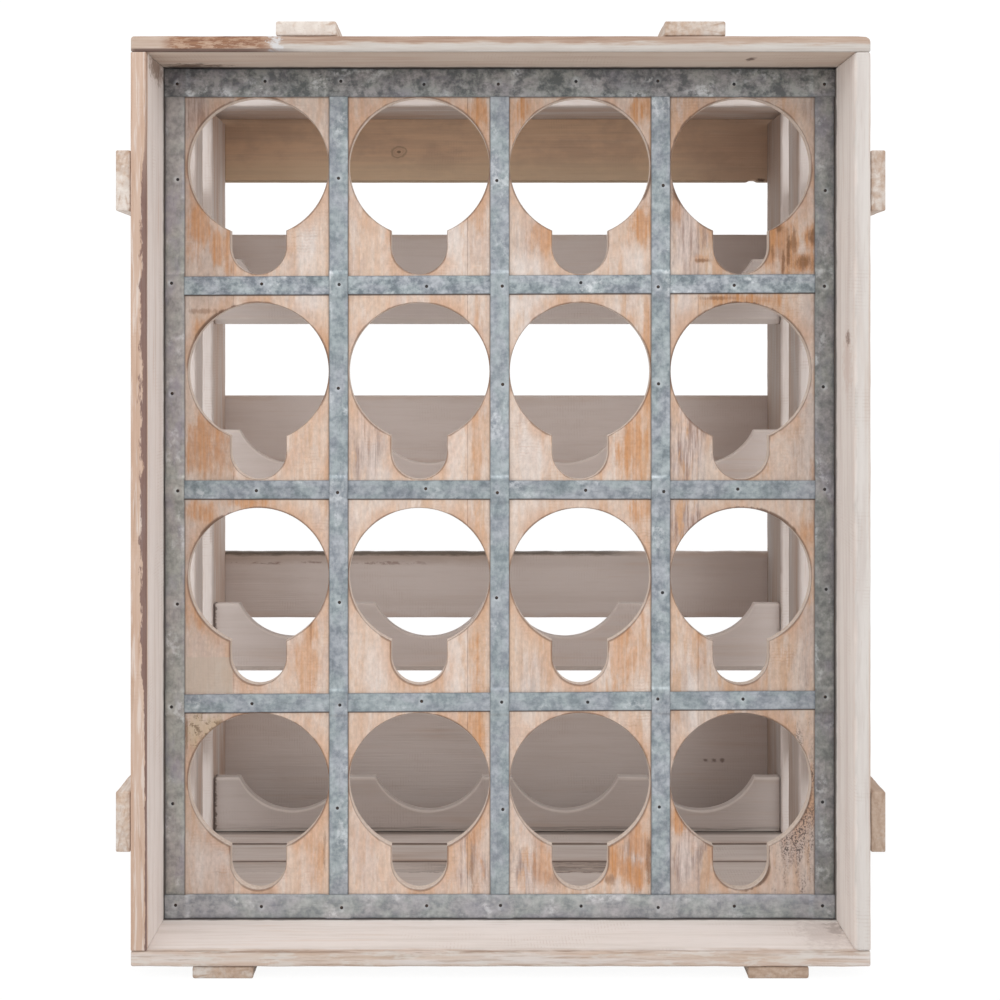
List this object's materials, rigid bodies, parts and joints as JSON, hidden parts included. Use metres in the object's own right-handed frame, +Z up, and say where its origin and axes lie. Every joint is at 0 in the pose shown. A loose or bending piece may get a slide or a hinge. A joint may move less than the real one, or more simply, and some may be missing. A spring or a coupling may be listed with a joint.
{
  "type": "bottle crate",
  "caption": "Upright slatted wooden crate with a keyhole panel and scalloped cradles that hold bottles lying down.",
  "frame": {"origin": "centre of the crate on the ground, under the foot battens", "axes": "+Z up, the open mouth faces -Y, +X is to the right of someone who looks into the mouth"},
  "size_m": [0.4168, 0.3, 0.5182],
  "materials": {
    "limewashed_board": "rough sawn softwood under a thin, worn limewash",
    "panel_board": "sawn softwood with orange streaks under a thin, uneven limewash",
    "zinc_strip": "dull galvanised sheet with spangle, hand cut and nailed"
  },
  "bodies": {
    "root": {"left_board_front": "limewashed_board", "left_board_middle": "limewashed_board", "left_board_rear": "limewashed_board", "right_board_front": "limewashed_board", "right_board_middle": "limewashed_board", "right_board_rear": "limewashed_board", "top_board_front": "limewashed_board", "top_board_middle": "limewashed_board", "top_board_rear": "limewashed_board", "bottom_board_front": "limewashed_board", "bottom_board_middle": "limewashed_board", "bottom_board_rear": "limewashed_board", "bottom_board_narrow": "limewashed_board", "back_board_1": "limewashed_board", "back_board_2": "limewashed_board", "back_board_3": "limewashed_board", "back_board_4": "limewashed_board", "back_board_5": "limewashed_board", "left_batten_upper": "limewashed_board", "left_batten_lower": "limewashed_board", "right_batten_upper": "limewashed_board", "right_batten_lower": "limewashed_board", "top_batten_left": "limewashed_board", "top_batten_right": "limewashed_board", "foot_batten_left": "limewashed_board", "foot_batten_right": "limewashed_board", "panel_plank_1": "panel_board", "panel_plank_2": "panel_board", "panel_plank_3": "panel_board", "panel_plank_4": "panel_board", "bottle_cradle_1": "limewashed_board", "bottle_cradle_2": "limewashed_board", "bottle_cradle_3": "limewashed_board", "bottle_cradle_4": "limewashed_board", "strip_row_1": "zinc_strip", "strip_row_2": "zinc_strip", "strip_row_3": "zinc_strip", "strip_column_1": "zinc_strip", "strip_column_2": "zinc_strip", "strip_column_3": "zinc_strip", "strip_left": "zinc_strip", "strip_right": "zinc_strip", "strip_top": "zinc_strip", "strip_bottom": "zinc_strip"}
  },
  "joints": []
}
